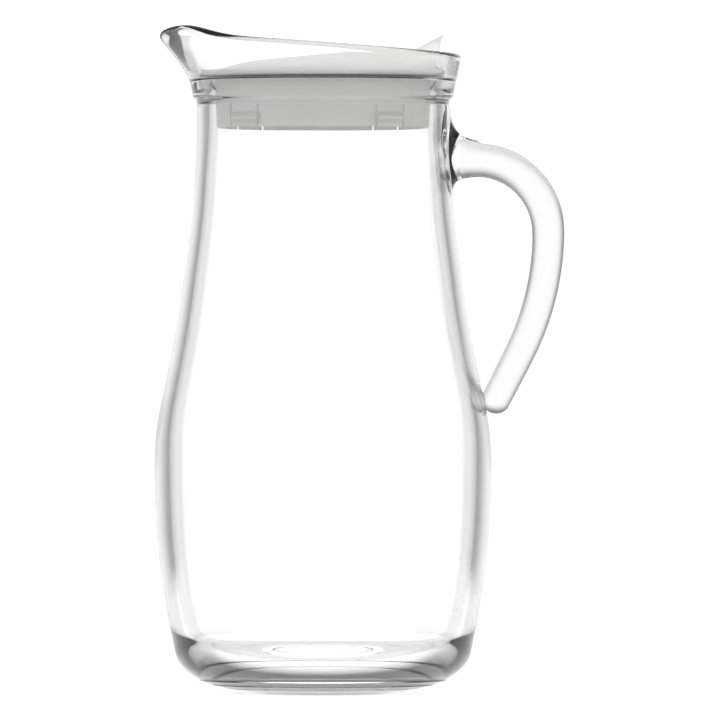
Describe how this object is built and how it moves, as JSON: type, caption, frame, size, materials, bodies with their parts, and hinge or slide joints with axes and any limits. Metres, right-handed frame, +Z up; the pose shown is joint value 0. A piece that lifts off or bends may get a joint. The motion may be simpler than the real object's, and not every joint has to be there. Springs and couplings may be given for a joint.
{
  "type": "lidded glass water jug",
  "caption": "Tall round-bellied clear glass water jug with a slanted rim, pulled pouring spout, glass rod handle and a turning lift-off plastic lid with thumb tab.",
  "frame": {"origin": "centre of the flat foot, on the surface that the jug stands on", "axes": "+Z up along the neck, -X towards the spout, +X towards the handle, mirror-symmetric about the XZ plane"},
  "size_m": [0.1641, 0.135, 0.2675],
  "materials": {
    "glass": "clear, fire-polished",
    "lid": "white, semi-gloss, fine moulded",
    "seal": "black, matt"
  },
  "bodies": {
    "jug": {"vessel_base": "glass", "vessel_body": "glass", "vessel_collar": "glass", "handle": "glass"},
    "seal": {"seal_ring": "seal"},
    "lid": {"lid_plate": "lid", "lid_skirt": "lid", "thumb_tab": "lid", "snap_finger_1": "lid", "snap_finger_2": "lid", "snap_finger_3": "lid", "snap_finger_4": "lid"}
  },
  "joints": [
    {"name": "lid_lift", "type": "slide", "parent": "jug", "child": "seal", "axis": [0, 0, 1], "range_m": [0, 0.06]},
    {"name": "lid_turn", "type": "hinge", "parent": "seal", "child": "lid", "pos_m": [0, 0, 0.2473], "axis": [0, 0, 1], "continuous": true}
  ]
}
